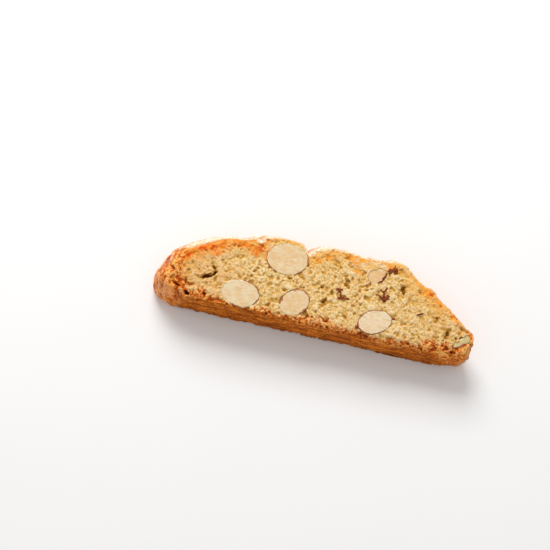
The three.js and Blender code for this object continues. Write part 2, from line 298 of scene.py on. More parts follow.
class Section:
    """The outline's signed distance on a fine grid, read between its points."""

    STEP = 0.25
    ROOM = 6

    def __init__(self, outline):
        self.low = outline.min(axis=0) - self.ROOM
        high = outline.max(axis=0) + self.ROOM
        self.shape = np.ceil((high - self.low) / self.STEP).astype(int) + 2
        x, y = (self.low[i] + self.STEP * np.arange(self.shape[i]) for i in (0, 1))
        values = outline_distance(*np.meshgrid(x, y, indexing="ij"), outline).astype(np.float32)
        share = smoothstep(np.abs(x), *ENDS_SOFTENED)[:, None]
        loss = smoothstep(y, *SOFTEN_HEIGHTS) * SOFTEN_LOSS
        self.values = values + share * (softened(values, SOFTEN_PASSES) - loss - values)

    def __call__(self, x, y):
        u = np.clip((x - self.low[0]) / self.STEP, 0, self.shape[0] - 1.001)
        v = np.clip((y - self.low[1]) / self.STEP, 0, self.shape[1] - 1.001)
        i, j = u.astype(np.int32), v.astype(np.int32)
        u, v = u - i, v - j
        grid = self.values
        return (
            (1 - u) * (1 - v) * grid[i, j] + u * (1 - v) * grid[i + 1, j]
            + (1 - u) * v * grid[i, j + 1] + u * v * grid[i + 1, j + 1]
        )


CROWN, FINE_OUTLINE = loaf_outline()
SECTION = Section(FINE_OUTLINE)


def crust_lumps():
    """The CAD's small swells and hollows of the crust: centre, size and rise of each."""
    draw = random_source(CRUST_SEED)
    for _ in range(LUMPS):
        x, y = CROWN[int(next(draw) * CROWN_POINTS)]
        z = -OVERRUN + (THICKNESS + 2 * OVERRUN) * next(draw)
        size = LUMP_SIZE[0] + (LUMP_SIZE[1] - LUMP_SIZE[0]) * next(draw)
        yield np.array([x, y, z]), size, LUMP_RISE * (2 * next(draw) - 1)


CRUST_LUMPS = list(crust_lumps())


def smooth_max(a, b, reach):
    """The greater of two distances, with the corner between them rounded over that reach."""
    near = np.clip(reach - np.abs(a - b), 0, None) / reach
    return np.maximum(a, b) + near * near * reach / 4


def cut_distance(points):
    return np.abs(points[:, 2] - THICKNESS / 2) - THICKNESS / 2


def loaf_place(points):
    """Where points lie in the loaf's section: x and y, with the knife's bias and lean taken off."""
    below = THICKNESS - points[:, 2]
    return points[:, 0] + below * math.tan(BIAS), points[:, 1] + below * math.tan(BASE_LEAN)


def slice_place(x, y, z):
    """Where a spot of the loaf's section lies in the slice at height z."""
    below = THICKNESS - z
    return np.array([x - below * math.tan(BIAS), y - below * math.tan(BASE_LEAN), z])


def loaf_distance(points):
    """How far points are outside the loaf's crust. The swell, bumps and lumps are the CAD's."""
    x, y = loaf_place(points)
    z = points[:, 2]
    above = smoothstep(y, 0, RIGHT_BELLY)
    lumpy = np.zeros(len(points))
    for centre, size, rise in CRUST_LUMPS:
        gap = (x - centre[0]) ** 2 + (y - centre[1]) ** 2 + (z - centre[2]) ** 2
        lumpy += rise * np.exp(-gap / size**2)
    swell = CRUST_SWELL * np.sin(math.pi * np.clip(z, 0, THICKNESS) / THICKNESS)
    out = above * (swell + smoothstep(THICKNESS - z, 0, LUMP_FADE) * lumpy)
    lift = above * (crust_bump(x, z) - crust_bump(x, THICKNESS))
    low = 1 - np.clip(z / THICKNESS, 0, 1)
    fill = sum(
        low * push * np.exp(-((x - foot_x) ** 2 + (y - foot_y) ** 2) / size**2)
        for foot_x, foot_y, size, push in FOOT_FILLS
    )
    base = BASE_RISE * low * smoothstep(x, *BASE_RISE_SPAN)
    reach = BASE_EDGE_ROUND + FOOT_ROUND * smoothstep(fill, 0, FOOT_ROUND_FILL)
    return smooth_max(SECTION(x, y - lift) - out - fill, base - y, reach)


def almond_distance(points, almond, side):
    """How far points are outside an almond, whose body is a leaning, turned and tapered ovoid."""
    cut = THICKNESS if side > 0 else 0
    narrowing = math.sqrt(1 - (almond["waist"] / almond["half"]) ** 2)
    z = points[:, 2] - cut
    x, y = loaf_place(points)
    x = x - almond["x"] + side * almond["lean"][0] * z
    y = y - almond["y"] + side * almond["lean"][1] * z
    tilt = math.radians(almond["tilt"])
    a, b = almond["long"] / 2 / narrowing, almond["wide"] / 2 / narrowing
    u = (math.cos(tilt) * x + math.sin(tilt) * y) / a
    v = (math.cos(tilt) * y - math.sin(tilt) * x) / (b * (1 - almond["egg"] * np.clip(u, -1.5, 1.5)))
    w = (z + side * almond["waist"]) / almond["half"]
    reach = np.sqrt(u * u + v * v + w * w) + 1e-6
    slope = np.sqrt((u / a) ** 2 + (v / b) ** 2 + (w / almond["half"]) ** 2) / reach + 1e-6
    return (reach - 1) / slope


# The dough's surface ----------------------------------------------------------------------------

# How far the crust's edge is rounded into the cuts, and how much more on the left shoulder and end
EDGE_ROUND = 1.7
SHOULDER = dict(x=-46, width=10, more=2.2)
LEFT_END = dict(start=-50, stop=-56, more=3)
# How much more along the base at the upper cut, by x
BASE_ROUND = [(-58, 0), (-50, 2), (-44, 1), (-38, 0), (-22, 0), (-15, 1.2), (-12, 0.4), (-5, 0.4), (2, 2.2),
              (14, 1.6), (28, 1.6), (34, 3), (60, 4)]
# How far from the cuts the crust of the base is crumbly
CRUMBLY_REACH = 4.5
# How far the crumb lies below the knife's plane, its broad swell, and its grains: size and rise of each
CRUMB_SINK = 0.3
CRUMB_WAVE = 3.1
CRUMB_SWELL = 0.16
GRAINS = [(1.35, 0.14), (0.75, 0.18)]
# The crust's wrinkles, cracks, chunks and ridges: wave lengths, depth or rise, and the cracks' width
WRINKLE_WAVE = (2.4, 2.2, 3.4)
FINE_WAVE = (1.2, 1.2, 1.8)
CRACK_WAVE = (5.5, 4, 4)
CRACK_DEPTH = 0.35
CRACK_WIDTH = 0.12
CHUNK_WAVE = 2
CHUNK_RISE = 0.6
RIDGE_WAVE = (1.2, 4.5, 4.5)
RIDGE_RISE = 0.35
# How far the crumb laps over an almond, with skin between them and without
LAP = (0.08, 0.45)
PORE_ROUND = 0.3
POCKET_ROUND = 0.15
PORE_SIZE = (0.22, 0.5)
PORE_SEED = 5
EDGE_PITS = 340
LEFT_PITS = 0.2
EDGE_PIT_SIZE = (0.24, 0.5)
RELIEF_SEED = 40
MOST_TRIANGLES = 195000


def grains(points, size, seed):
    """Rounded grains of about that size: 1 at the middle of each, 0 or less between them."""
    jitter = np.random.default_rng(seed).random((GRAIN_CELLS,) * 3 + (3,)).astype(np.float32)
    place = (points / size).astype(np.float32)
    cell = np.floor(place).astype(np.int32)
    nearest = np.full(len(points), 9, np.float32)
    for step in np.ndindex(3, 3, 3):
        near = cell + np.array(step, np.int32) - 1
        wrapped = near % GRAIN_CELLS
        middle = near + jitter[wrapped[:, 0], wrapped[:, 1], wrapped[:, 2]]
        nearest = np.minimum(nearest, ((place - middle) ** 2).sum(axis=1))
    return 1 - 2.2 * nearest


def left_end(points):
    """How far each point is on the left end, from 0 to 1."""
    x, y = loaf_place(points)
    return smoothstep(-x - 0.35 * y, 46, 51)


def crumbly(points):
    """Where the crust is as rough as the crumb: the base by the cuts, and both ends."""
    x, y = loaf_place(points)
    near = 1 - smoothstep(-cut_distance(points), 0.5, CRUMBLY_REACH)
    near *= smoothstep(points[:, 2], 0, THICKNESS, 0.4, 1)
    base = (1 - smoothstep(y, 1.5, 5)) * (0.3 + 0.7 * near)
    left = left_end(points) * (0.65 + 0.35 * near)
    right = smoothstep(x, 52, 57) * (1 - smoothstep(y, 8, 13)) * (0.4 + 0.6 * near)
    return np.maximum(base, np.maximum(left, right))


def crust_relief(points):
    """The crust's wrinkles and fine cracks, in millimetres outwards."""
    wrinkles = smooth_noise(points, WRINKLE_WAVE, RELIEF_SEED)
    fine = smooth_noise(points, FINE_WAVE, RELIEF_SEED + 1)
    cracks = np.abs(smooth_noise(points, CRACK_WAVE, RELIEF_SEED + 2) + 0.25 * fine)
    top = smoothstep(points[:, 1], 1, 6)
    grooves = -CRACK_DEPTH * (1 - smoothstep(cracks, 0, CRACK_WIDTH)) * top
    smooth = (0.08 + 0.16 * top) * wrinkles + (0.05 + 0.1 * top) * fine + grooves
    chunks = CHUNK_RISE * smooth_noise(points, CHUNK_WAVE, RELIEF_SEED + 11)
    ridges = RIDGE_RISE * left_end(points) * smooth_noise(points, RIDGE_WAVE, RELIEF_SEED + 12)
    return smooth + ridges + crumbly(points) * (1.2 * crumb_relief(points) + chunks - 0.2)


def crumb_relief(points):
    """The crumb's grains at the cuts, in millimetres outwards."""
    swell = CRUMB_SWELL * smooth_noise(points, CRUMB_WAVE, RELIEF_SEED + 3)
    for number, (size, rise) in enumerate(GRAINS):
        swell += rise * np.clip(grains(points, size, RELIEF_SEED + 4 + number), -1, 1)
    return swell


def edge_round(points):
    """How far the crust is rounded into the cut at each point."""
    x, y = loaf_place(points)
    shoulder = np.exp(-(((x - SHOULDER["x"]) / SHOULDER["width"]) ** 2)) * smoothstep(y, 5, 10)
    end = smoothstep(x, LEFT_END["start"], LEFT_END["stop"]) * (1 - smoothstep(y, 9, 15))
    base = reach_along(x, BASE_ROUND) * (1 - smoothstep(y, 4, 9)) * (points[:, 2] > THICKNESS / 2)
    return EDGE_ROUND + SHOULDER["more"] * shoulder + np.maximum(LEFT_END["more"] * end, base)


def plain_field(points):
    """The dough without its relief, pores and pockets: distance, negative inside."""
    return smooth_max(loaf_distance(points), cut_distance(points), edge_round(points))


def solid_field(points):
    """The dough without its pores and pockets: distance, negative inside."""
    crust = loaf_distance(points)
    cut = cut_distance(points)
    by_crust = np.abs(crust) < MARGIN
    by_cut = (np.abs(cut) < MARGIN) & (crust < MARGIN)
    crust[by_crust] -= crust_relief(points[by_crust])
    crumb = cut + CRUMB_SINK
    crumb[by_cut] -= crumb_relief(points[by_cut])
    return np.maximum(smooth_max(crust, crumb, edge_round(points)), cut)


def surface_height(x, y):
    """How high the dough's upper cut is at a spot, with its edges' rounding."""
    z = THICKNESS
    for _ in range(4):
        z -= float(plain_field(np.array([[x, y, z]]))[0])
    return z


def placed_pores():
    """The pores of the upper cut that have their own places: centre, half sizes and turn of each."""
    for x, y, long, wide, tilt, deep in LARGE_PORES + SMALL_PORES:
        yield (x, y, surface_height(x, y)), (long / 2, wide / 2, deep), math.radians(tilt)


def fine_pores(random, side):
    """The fine pores of one cut, clear of the crust: centre, half sizes and turn of each."""
    low, high = FINE_OUTLINE.min(axis=0), FINE_OUTLINE.max(axis=0)
    for x, y in low + (high - low) * random.random((PORES_PER_FACE, 2)):
        size = PORE_SIZE[0] + PORE_SIZE[1] * random.random() ** 4
        stretch, deep, sunk, turn = random.random(4)
        sunk = size * (0.5 * sunk - 0.35)
        z = THICKNESS - CRUMB_SINK - sunk if side > 0 else CRUMB_SINK + sunk
        half = (size * (1 + 0.9 * stretch), size, size * (0.7 + 0.6 * deep))
        if SECTION(x, y) < -0.6 - size or (y < 4 and SECTION(x, y) < 0):
            yield slice_place(x, y, z), half, math.pi * turn


def edge_pits(random, side):
    """Pits along the base's edge and the left end's: centre, half sizes and turn of each."""
    for share, inward, size, stretch, turn in random.random((EDGE_PITS, 5)):
        size = EDGE_PIT_SIZE[0] + EDGE_PIT_SIZE[1] * size**2
        if share < LEFT_PITS:
            x, y = -50 - 7 * inward, 1 + 13 * share / LEFT_PITS
        else:
            x = -50 + (HALF + 50) * ((share - LEFT_PITS) / (1 - LEFT_PITS)) ** 0.7
            y = (1.5 + 4 * smoothstep(x, 30, 40)) * inward**1.5
        sunk = THICKNESS - surface_height(x, y) + 0.2 * size
        z = THICKNESS - sunk if side > 0 else sunk
        yield slice_place(x, y, z), (size * (1 + stretch), size, size), math.pi * turn


def pore_distance(points, centre, half, turn):
    x, y, z = (points[:, i] - centre[i] for i in range(3))
    u = (math.cos(turn) * x + math.sin(turn) * y) / half[0]
    v = (math.cos(turn) * y - math.sin(turn) * x) / half[1]
    ragged = 0.5 * smooth_noise(points, 0.9, PORE_SEED) if max(half) > 0.8 else 0
    return (np.sqrt(u * u + v * v + (z / half[2]) ** 2) - 1 + ragged) * min(half)


def around_almond(points, almond, side):
    """The angle of each point round the middle of an almond's cut."""
    middle = slice_place(almond["x"], almond["y"], THICKNESS if side > 0 else 0)
    return np.arctan2(points[:, 1] - middle[1], points[:, 0] - middle[0])


def skin_arcs(angles, arcs):
    """The skin's thickness at each angle, thinning out at the ends of each arc."""
    thick = np.zeros(len(angles))
    for start, end, most in arcs:
        into = (np.degrees(angles) - start) % 360
        ends = np.minimum(into, end - start - into) if end - start < 360 else 90
        thick = np.maximum(thick, most * smoothstep(ends, 0, 14))
    return thick


def pocket_distance(points, almond, side, arcs, ragged):
    """The hollow that an almond lies in, its wall as uneven as the crumb."""
    bare = 1 - smoothstep(skin_arcs(around_almond(points, almond, side), arcs), 0, 0.25)
    bare *= min(1, (almond["wide"] / 7) ** 2)
    lap = LAP[0] + (LAP[1] - LAP[0]) * bare
    uneven = (0.1 + 0.25 * bare + ragged) * smooth_noise(points, 1.1, RELIEF_SEED + 8)
    return almond_distance(points, almond, side) + lap + uneven


class Grid:
    """A block of voxels that holds a distance field."""

    SLAB = 16

    def __init__(self, low, high, step):
        self.low = np.array(low, float)
        self.step = step
        self.shape = tuple(np.ceil((np.array(high) - low) / step).astype(int) + 1)
        self.values = np.full(self.shape, MARGIN, np.float32)

    def points(self, window):
        axes = [self.low[i] + self.step * np.arange(self.shape[i])[window[i]] for i in range(3)]
        return np.stack(np.meshgrid(*axes, indexing="ij"), axis=-1).reshape(-1, 3)

    def window(self, centre, reach):
        low = np.floor((np.array(centre) - reach - self.low) / self.step)
        high = np.ceil((np.array(centre) + reach - self.low) / self.step) + 1
        return tuple(slice(int(max(a, 0)), int(max(a, b, 0))) for a, b in zip(low, high))

    def fill(self, field):
        """Works the field out everywhere, a slab at a time to save memory."""
        for start in range(0, self.shape[0], self.SLAB):
            window = (slice(start, start + self.SLAB), slice(None), slice(None))
            part = self.values[window]
            part[...] = field(self.points(window)).reshape(part.shape)

    def carve(self, window, distance, reach):
        """Takes a hollow out, its edge rounded over that reach."""
        part = self.values[window]
        if part.size:
            hollow = -distance(self.points(window)).reshape(part.shape)
            part[...] = smooth_max(part, hollow, reach)

    def surface(self):
        volume = openvdb.FloatGrid(MARGIN)
        volume.copyFromArray(np.clip(self.values, -MARGIN, MARGIN))
        points, quads = volume.convertToQuads(isovalue=0.0)
        return points * self.step + self.low, quads


def largest_piece(points, quads):
    """The same surface without its loose scraps."""
    label = np.arange(len(points))
    sides = np.concatenate([quads[:, [i, (i + 1) % 4]] for i in range(4)])
    before = None
    while before is None or (label != before).any():
        before = label.copy()
        least = np.minimum(label[sides[:, 0]], label[sides[:, 1]])
        np.minimum.at(label, sides[:, 0], least)
        np.minimum.at(label, sides[:, 1], least)
        label = label[label]
    keep = label == np.bincount(label).argmax()
    number = np.cumsum(keep) - 1
    return points[keep], number[quads[keep[quads[:, 0]]]]


def dough_surface():
    """The slice of dough with its pores and the almonds' pockets."""
    low = slice_place(-HALF, 0, 0) - MARGIN
    high = slice_place(HALF, FINE_OUTLINE[:, 1].max(), THICKNESS) + MARGIN
    grid = Grid(low, high, VOXEL)
    grid.fill(solid_field)
    random = np.random.default_rng(PORE_SEED)
    pores = list(placed_pores())
    for side in (1, -1):
        pores += [*fine_pores(random, side), *edge_pits(random, side)]
    for centre, half, turn in pores:
        window = grid.window(centre, max(half) + 2 * VOXEL)
        grid.carve(window, lambda p: pore_distance(p, centre, half, turn), PORE_ROUND)
    for (almond, side), arcs, ragged in zip(ALMONDS, SKINS, RAGGED):
        cut = THICKNESS if side > 0 else 0
        middle = slice_place(almond["x"], almond["y"], cut)
        window = grid.window(middle, (almond["long"], almond["long"], 2 * THICKNESS))
        grid.carve(window, lambda p: pocket_distance(p, almond, side, arcs, ragged), POCKET_ROUND)
    return largest_piece(*grid.surface())


# Pieces -------------------------------------------------------------------------------------------


def new_piece(name, points, faces, material):
    """A smooth mesh from points in the slice's millimetres."""
    mesh = bpy.data.meshes.new(name)
    mesh.from_pydata(((np.asarray(points, float) - ORIGIN) * MM).tolist(), [], [list(f) for f in faces])
    mesh.materials.append(material)
    mesh.polygons.foreach_set("use_smooth", [True] * len(mesh.polygons))
    piece = bpy.data.objects.new(name, mesh)
    bpy.context.scene.collection.objects.link(piece)
    return piece


def slice_points(piece):
    """The piece's points in the slice's millimetres."""
    flat = np.empty(len(piece.data.vertices) * 3, np.float32)
    piece.data.vertices.foreach_get("co", flat)
    return flat.reshape(-1, 3) / MM + ORIGIN


def give(piece, **numbers):
    """Puts these numbers on the piece's points, for its material to read."""
    for name, values in numbers.items():
        attribute = piece.data.attributes.new(name, "FLOAT", "POINT")
        attribute.data.foreach_set("value", np.asarray(values, np.float32))


def thin_out(piece, most):
    """Merges the flattest faces until the piece has at most that many triangles."""
    triangles = sum(len(face.vertices) - 2 for face in piece.data.polygons)
    if triangles <= most:
        return
    modifier = piece.modifiers.new("thin_out", "DECIMATE")
    modifier.ratio = most / triangles
    scene = bpy.context.evaluated_depsgraph_get()
    thinned = bpy.data.meshes.new_from_object(piece.evaluated_get(scene))
    piece.modifiers.remove(modifier)
    piece.data = thinned


# How far the browning reaches in from the base, along x, and from the two ends
BASE_TOAST = [(-57, 8), (-50, 7), (-42, 6), (-36, 4), (-30, 3), (-24, 3.2), (-18, 3.6), (-12, 2.6), (-5, 3.4),
              (4, 4.4), (14, 3.5), (22, 2.2), (27, 2.4), (33, 4.2), (44, 5.6), (54, 7.5)]
LEFT_TOAST = 4.6
RIGHT_TOAST = 4.5
# How far it reaches in from the top crust, along x
TOP_TOAST = [(-57, 7), (-50, 5.5), (-42, 5.5), (-30, 4.4), (-25, 3.2), (-20, 1.2), (-10, 1.2), (-5, 2.2),
             (0, 2.8), (12, 2.8), (24, 1.6), (36, 2.2), (44, 2), (50, 1.6), (58, 1.6)]
# Width of the painted highlight where the top crust rounds into the upper cut, along x
HIGHLIGHT_RIM_WIDTH = [(-55, 0.2), (-52, 2.2), (-46, 2.6), (-41, 1.6), (-30, 1.3), (-27, 2), (-23, 1.4), (-16, 0.9),
             (-9, 1.2), (-6, 2.2), (2, 1.8), (8, 1.2), (20, 1.4), (26, 1.5), (30, 0.9), (58, 0.7)]
# Spots just inside the top crust: x, y, half length, half width, slope in degrees
# Painted highlights on the crumb
HIGHLIGHT_SPOTS = [
    (13, 27.2, 1.6, 0.9, -10),
    (20.2, 28.4, 2.4, 1.1, -5),
    (16.2, 28.8, 1.4, 0.8, 0),
]
# Crumb that browned nearly red
SCORCHED_SPOTS = [
    (-52.7, 15.9, 2.2, 1.2, 45),
    (-47.6, 19.9, 2.6, 1.2, 25),
    (-44.2, 21.6, 2, 0.9, 15),
    (-26.6, 24.6, 2.2, 1, -20),
    (40, 21.7, 1.6, 0.8, -30),
    (50.6, 15.6, 2.6, 0.6, -42),
    (56.9, 9.6, 1.8, 0.9, -50),
]
# Crumb that browned to orange
TOASTED_SPOTS = [
    (-42.5, 19.3, 3.2, 1.8, 20),
    (-53.5, 15.3, 3.6, 2.2, 50),
    (-51.2, 17.6, 2.6, 1.4, 60),
    (-45.5, 20.8, 4.6, 1.7, 18),
    (-41, 22.4, 3, 1.5, 15),
    (-32, 24.7, 4.6, 1.3, 5),
    (-28, 23.4, 2.6, 3, 0),
    (-22.5, 23, 2.5, 3.5, 0),
    (-0.5, 27.4, 2.6, 1.3, 0),
    (-4, 25.2, 1.6, 1.8, 70),
    (8, 29.2, 2.6, 1, 0),
    (9.4, 27.2, 2.4, 1.1, -20),
    (12, 29, 2, 0.9, 0),
    (11.6, 24.4, 2.2, 1.2, 0),
    (24, 28.4, 4, 1.2, -10),
    (39, 21.7, 3.2, 2, -35),
    (43.6, 19, 2.4, 1.6, -30),
    (50.5, 15.2, 4, 2, -40),
]


def spots_at(x, y, spots):
    """How deep in one of the spots each point is, from 0 to 1."""
    most = np.zeros(len(x))
    for middle_x, middle_y, half_length, half_width, slope in spots:
        turn = math.radians(slope)
        u = (math.cos(turn) * (x - middle_x) + math.sin(turn) * (y - middle_y)) / half_length
        v = (math.cos(turn) * (y - middle_y) - math.sin(turn) * (x - middle_x)) / half_width
        most = np.maximum(most, 1 - smoothstep(np.hypot(u, v), 0.3, 1.2))
    return most


def paint_dough(piece):
    """Measures what the dough's material needs to know at each point."""
    points = slice_points(piece)
    x, y = loaf_place(points)
    inward = -loaf_distance(points)
    below_cut = -cut_distance(points)
    patchy = 1 + 0.55 * smooth_noise(points, 3.2, RELIEF_SEED + 9)
    patchy += 0.3 * smooth_noise(points, 1.3, RELIEF_SEED + 10)
    by_base = 1 - smoothstep(y - inward, 0.2, 2)
    left = (1 - smoothstep(inward / (LEFT_TOAST * patchy), 0.3, 1.1)) * smoothstep(-x - 0.4 * y, 44, 49)
    right = (1 - smoothstep(inward / (RIGHT_TOAST * patchy), 0.3, 1.1)) * smoothstep(x, 50, 55)
    base_toast = 1 - smoothstep(y / (reach_along(x, BASE_TOAST) * patchy), 0.1, 1.1)
    base_toast = np.maximum(base_toast, np.maximum(left, right * (1 - smoothstep(y, 8, 13))))
    top_toast = 1 - smoothstep(inward / (reach_along(x, TOP_TOAST) * patchy), 0.2, 1.2)
    # Painted highlight: a pale band where the top crust rounds into the upper cut, wider on the left shoulder
    across = inward / reach_along(x, HIGHLIGHT_RIM_WIDTH)
    wider = np.where(points[:, 2] > THICKNESS / 2, smoothstep(x, -32, -42, 0, 1.3), 0)
    down = below_cut - wider + 0.8 * smooth_noise(points, 1.6, RELIEF_SEED + 13)
    upper = (1 - smoothstep(down, 0.2, 1.9)) * smoothstep(y, 10, 14)
    rim = (1 - smoothstep(across, 0.5, 1.1)) * upper
    give(
        piece,
        crust=1 - smoothstep(inward, 0.35, 0.95),
        base=by_base,
        base_toast=base_toast,
        top_toast=top_toast * (1 - by_base) * (1 - left),
        spots=spots_at(x, y, TOASTED_SPOTS),
        scorched=spots_at(x, y, SCORCHED_SPOTS),
        glow=(1 - smoothstep(inward, 1.5, 9)) * smoothstep(y, 9, 15),
        depth=-plain_field(points),
        below=THICKNESS - points[:, 2],
        rim=np.maximum(rim, 0.5 * spots_at(x, y, HIGHLIGHT_SPOTS) * upper),
        end=left_end(points),
    )


def make_dough(material):
    piece = new_piece("dough", *dough_surface(), material)
    thin_out(piece, MOST_TRIANGLES)
    paint_dough(piece)
    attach(piece, "root")
    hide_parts("biscuit")


# Colour of each almond's flesh, from 0 pale to 1 golden, and how dull it is
FLESH_WARMTH = [0.42, 0.22, 0.42, 0.1, 0.4, 1, 0.3, 0.4]
FLESH_DULL = [0.12, 0.14, 0.12, 0, 0.6, 0, 0.1, 0.1]
ALMOND_VOXEL = 0.3
ALMOND_SINK = 0.18
ALMOND_WAVE = 4
ALMOND_SWELL = 0.16
ALMOND_SEED = 60


def almond_field(points, almond, side, ragged, seed):
    """An almond cut off at the slice's two cuts: distance, negative inside."""
    body = almond_distance(points, almond, side) - ALMOND_SWELL * smooth_noise(points, ALMOND_WAVE, seed)
    body -= ragged * smooth_noise(points, 1.1, seed)
    return smooth_max(body, cut_distance(points) + ALMOND_SINK + 0.6 * ragged, 0.2)


def skin_thickness(points, almond, side, arcs, random):
    """The skin's thickness at the cut, and all over the body below."""
    angles = around_almond(points, almond, side)
    thick = skin_arcs(angles, arcs)
    for waves in (3, 5, 9, 14):
        thick *= 1 + 0.22 * np.sin(waves * angles + 2 * math.pi * random.random())
    return thick * (1 + 12 * smoothstep(-cut_distance(points), 0.35, 0.7))


def make_almond(number, material):
    almond, side = ALMONDS[number]
    reach = max(almond["long"], almond["wide"]) / 2 + MARGIN
    ends = [0, -side * min(THICKNESS, almond["half"] + almond["waist"] + MARGIN)]
    cut = THICKNESS if side > 0 else 0
    lean_x, lean_y = almond["lean"]
    middles = [
        slice_place(almond["x"] - side * lean_x * z, almond["y"] - side * lean_y * z, cut + z) for z in ends
    ]
    room = np.array([reach, reach, MARGIN])
    grid = Grid(np.min(middles, axis=0) - room, np.max(middles, axis=0) + room, ALMOND_VOXEL)
    grid.fill(lambda p: almond_field(p, almond, side, RAGGED[number], ALMOND_SEED + number))
    piece = new_piece(f"almond_{number + 1}_nut", *grid.surface(), material)
    points = slice_points(piece)
    random = np.random.default_rng(ALMOND_SEED + number)
    give(
        piece,
        inner=-almond_distance(points, almond, side),
        skin=skin_thickness(points, almond, side, SKINS[number], random),
        warmth=np.full(len(points), FLESH_WARMTH[number]),
        dull=np.full(len(points), FLESH_DULL[number]),
    )
    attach(piece, "root")
    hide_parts(f"almond_{number + 1}")


# Scraps of skin in the upper cut's crumb: half their width, and the points each runs through
FLAKES = [
    (0.5, [(4.7, 15.3), (6, 15.9), (7.2, 16)]),
    (0.32, [(6.4, 15.6), (6.6, 14.5), (6.8, 13.4)]),
    (0.75, [(6, 12.3), (7.2, 12.8), (8.2, 12.9)]),
    (0.3, [(8, 12.8), (9.3, 12.9), (10.4, 13)]),
    (0.55, [(21.2, 16.8), (22.1, 15.9), (23, 15.4)]),
    (0.8, [(23, 15.3), (23.9, 16.3), (24.6, 17.7)]),
    (0.3, [(19.7, 17.1), (20.6, 17.1), (21.4, 16.6)]),
    (0.25, [(20.9, 19.4), (21.9, 18.6), (22.4, 18.6), (23.4, 20.6)]),
    (0.3, [(22.4, 19), (22.6, 17.6), (22.8, 16.6)]),
    (0.9, [(22.4, 26.5), (23.6, 27.5), (24.8, 27.9), (25.6, 28.6)]),
    (0.45, [(24.3, 28.6), (24.7, 29.6)]),
    (0.4, [(22.2, 26.2), (21.9, 25.1), (20.9, 23.3)]),
    (0.3, [(20.6, 22.6), (19.6, 21.5)]),
    (0.3, [(36.1, 12.6), (37.2, 13.2), (38.5, 13.9)]),
    (0.35, [(43.2, 13.3), (44.2, 13.2)]),
    (0.4, [(27.5, 9.1), (28.6, 9.3)]),
    (0.35, [(15.1, 3.4), (15.7, 2.6)]),
    (0.5, [(18.4, 0.9), (19.4, 0.3)]),
]
FLAKE_HALF_THICKNESS = 0.16
FLAKE_SINK = 0.16
FLAKE_STEP = 0.3
FLAKE_SIDES = 8
FLAKE_SEED = 90


def flake_line(corners):
    """Points at even steps along the corners' line."""
    corners = np.array(corners, float)
    along = np.concatenate([[0], np.cumsum(np.linalg.norm(np.diff(corners, axis=0), axis=1))])
    even = np.linspace(0, along[-1], max(4, int(along[-1] / FLAKE_STEP)))
    return np.stack([np.interp(even, along, corners[:, i]) for i in (0, 1)], axis=1)


def make_flakes(material):
    """All scraps of skin as one piece: flattened ragged ribbons in the crumb."""
    random = np.random.default_rng(FLAKE_SEED)
    points, faces = [], []
    around = np.linspace(0, 2 * math.pi, FLAKE_SIDES, endpoint=False)
    for half_width, corners in FLAKES:
        line = flake_line(corners)
        heading = np.gradient(line, axis=0)
        heading /= np.linalg.norm(heading, axis=1)[:, None]
        across = np.stack([-heading[:, 1], heading[:, 0]], axis=1)
        first = len(points)
        for place, side in zip(line, across):
            wide = half_width * (0.6 + 0.7 * random.random())
            offset = 0.25 * half_width * (2 * random.random() - 1)
            level = surface_height(*place)
            for angle in around:
                x, y = place + side * (offset + wide * math.cos(angle))
                height = FLAKE_HALF_THICKNESS * math.sin(angle) - FLAKE_SINK
                points.append((x, y, level + height))
        rings = len(line)
        for ring in range(rings - 1):
            for i in range(FLAKE_SIDES):
                j = (i + 1) % FLAKE_SIDES
                a, b = first + ring * FLAKE_SIDES, first + (ring + 1) * FLAKE_SIDES
                faces.append((a + i, a + j, b + j, b + i))
        last = first + (rings - 1) * FLAKE_SIDES
        faces.append(tuple(range(first + FLAKE_SIDES - 1, first - 1, -1)))
        faces.append(tuple(range(last, last + FLAKE_SIDES)))
    piece = new_piece("skin_flakes", points, faces, material)
    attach(piece, "root")


# Materials ----------------------------------------------------------------------------------------


